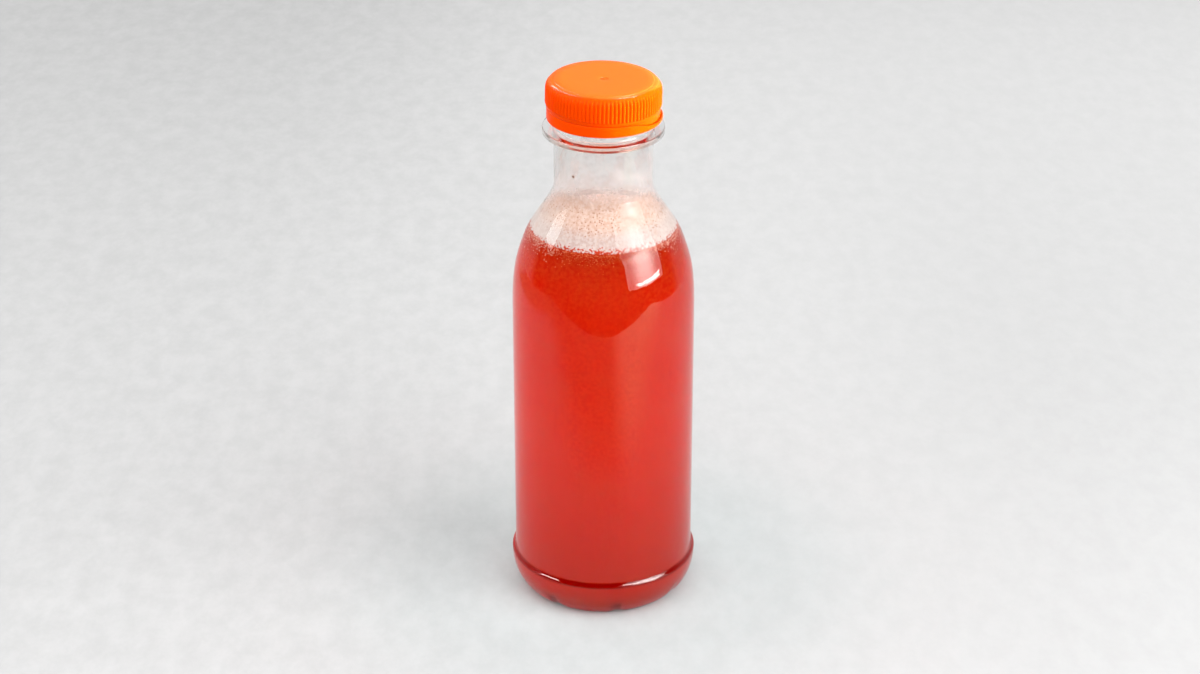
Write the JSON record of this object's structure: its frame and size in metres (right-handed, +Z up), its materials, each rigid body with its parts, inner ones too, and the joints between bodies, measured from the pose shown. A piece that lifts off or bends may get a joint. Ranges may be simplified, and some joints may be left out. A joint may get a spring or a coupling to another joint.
{
  "type": "lemonade bottle",
  "caption": "Clear plastic juice bottle with a wide neck, a ribbed orange screw cap and its band, filled with cloudy red lemonade under a layer of foam.",
  "frame": {"origin": "middle of the base, on the surface that the bottle stands on", "axes": "+Z up along the bottle's axis, -Y towards the front that the picture shows, +X to the right"},
  "size_m": [0.0682, 0.0682, 0.2003],
  "materials": {
    "clear_plastic": "clear, smooth and shiny blown plastic",
    "cap_plastic": "orange moulded plastic with a soft shine",
    "lemonade": "cloudy red drink",
    "foam": "pale pink froth of small bubbles"
  },
  "bodies": {
    "root": {"bottle": "clear_plastic", "cap": "cap_plastic", "tamper_band": "cap_plastic", "lemonade": "lemonade", "foam": "foam"}
  },
  "joints": []
}
